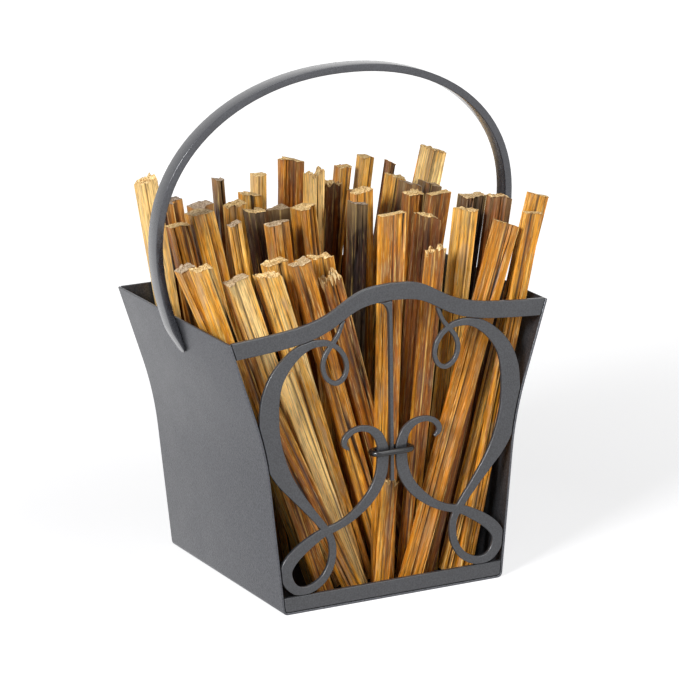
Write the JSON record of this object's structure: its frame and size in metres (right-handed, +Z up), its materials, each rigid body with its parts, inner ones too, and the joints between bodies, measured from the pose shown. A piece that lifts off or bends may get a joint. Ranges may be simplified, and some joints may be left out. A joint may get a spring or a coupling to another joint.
{
  "type": "fatwood caddy",
  "caption": "Flared sheet steel caddy with an open scrollwork front, a fixed arched carrying handle and split fatwood sticks that lift out in two loads.",
  "frame": {"origin": "middle of the bottom sheet's underside, on the surface the caddy stands on", "axes": "+Z up, +X to the right across the open front, +Y from the open front to the back panel"},
  "size_m": [0.2138, 0.1428, 0.2802],
  "materials": {
    "painted_steel": "satin charcoal powder coat",
    "painted_grille": "satin charcoal powder coat",
    "painted_collar": "semi-gloss black paint",
    "fatwood": "split resinous pine, rough"
  },
  "bodies": {
    "caddy": {"body_shell": "painted_steel", "back_panel": "painted_steel", "handle": "painted_steel", "top_rail": "painted_grille", "bottom_rail": "painted_grille", "scroll_left": "painted_grille", "scroll_right": "painted_grille", "center_bar": "painted_grille", "collar": "painted_collar"},
    "front_load": {"fatwood_front_a_1": "fatwood", "fatwood_front_a_2": "fatwood", "fatwood_front_a_3": "fatwood", "fatwood_front_a_4": "fatwood", "fatwood_front_b_1": "fatwood", "fatwood_front_b_2": "fatwood", "fatwood_front_b_3": "fatwood", "fatwood_front_b_4": "fatwood", "fatwood_front_b_5": "fatwood", "fatwood_front_b_6": "fatwood", "fatwood_front_c_1": "fatwood", "fatwood_front_c_2": "fatwood", "fatwood_front_c_3": "fatwood", "fatwood_front_c_4": "fatwood", "fatwood_front_c_5": "fatwood", "fatwood_front_c_6": "fatwood", "fatwood_front_c_7": "fatwood", "fatwood_front_d_1": "fatwood", "fatwood_front_d_2": "fatwood", "fatwood_front_d_3": "fatwood", "fatwood_front_d_4": "fatwood", "fatwood_front_d_5": "fatwood"},
    "rear_load": {"fatwood_rear_e_1": "fatwood", "fatwood_rear_e_2": "fatwood", "fatwood_rear_e_3": "fatwood", "fatwood_rear_e_4": "fatwood", "fatwood_rear_f_1": "fatwood", "fatwood_rear_f_2": "fatwood", "fatwood_rear_f_3": "fatwood", "fatwood_rear_f_4": "fatwood", "fatwood_rear_f_5": "fatwood", "fatwood_rear_f_6": "fatwood", "fatwood_rear_g_1": "fatwood", "fatwood_rear_g_2": "fatwood", "fatwood_rear_g_3": "fatwood", "fatwood_rear_g_4": "fatwood", "fatwood_rear_g_5": "fatwood", "fatwood_rear_h_1": "fatwood", "fatwood_rear_h_2": "fatwood", "fatwood_rear_h_3": "fatwood", "fatwood_rear_h_4": "fatwood", "fatwood_rear_h_5": "fatwood", "fatwood_rear_j_1": "fatwood", "fatwood_rear_j_2": "fatwood", "fatwood_rear_j_3": "fatwood", "fatwood_rear_j_4": "fatwood", "fatwood_rear_j_5": "fatwood", "fatwood_rear_j_6": "fatwood", "fatwood_rear_j_7": "fatwood", "fatwood_rear_j_8": "fatwood", "fatwood_rear_j_9": "fatwood"}
  },
  "joints": [
    {"name": "front_lift", "type": "slide", "parent": "caddy", "child": "front_load", "axis": [0, 0, 1], "range_m": [0, 0.2]},
    {"name": "rear_lift", "type": "slide", "parent": "caddy", "child": "rear_load", "axis": [0, 0, 1], "range_m": [0, 0.2]}
  ]
}
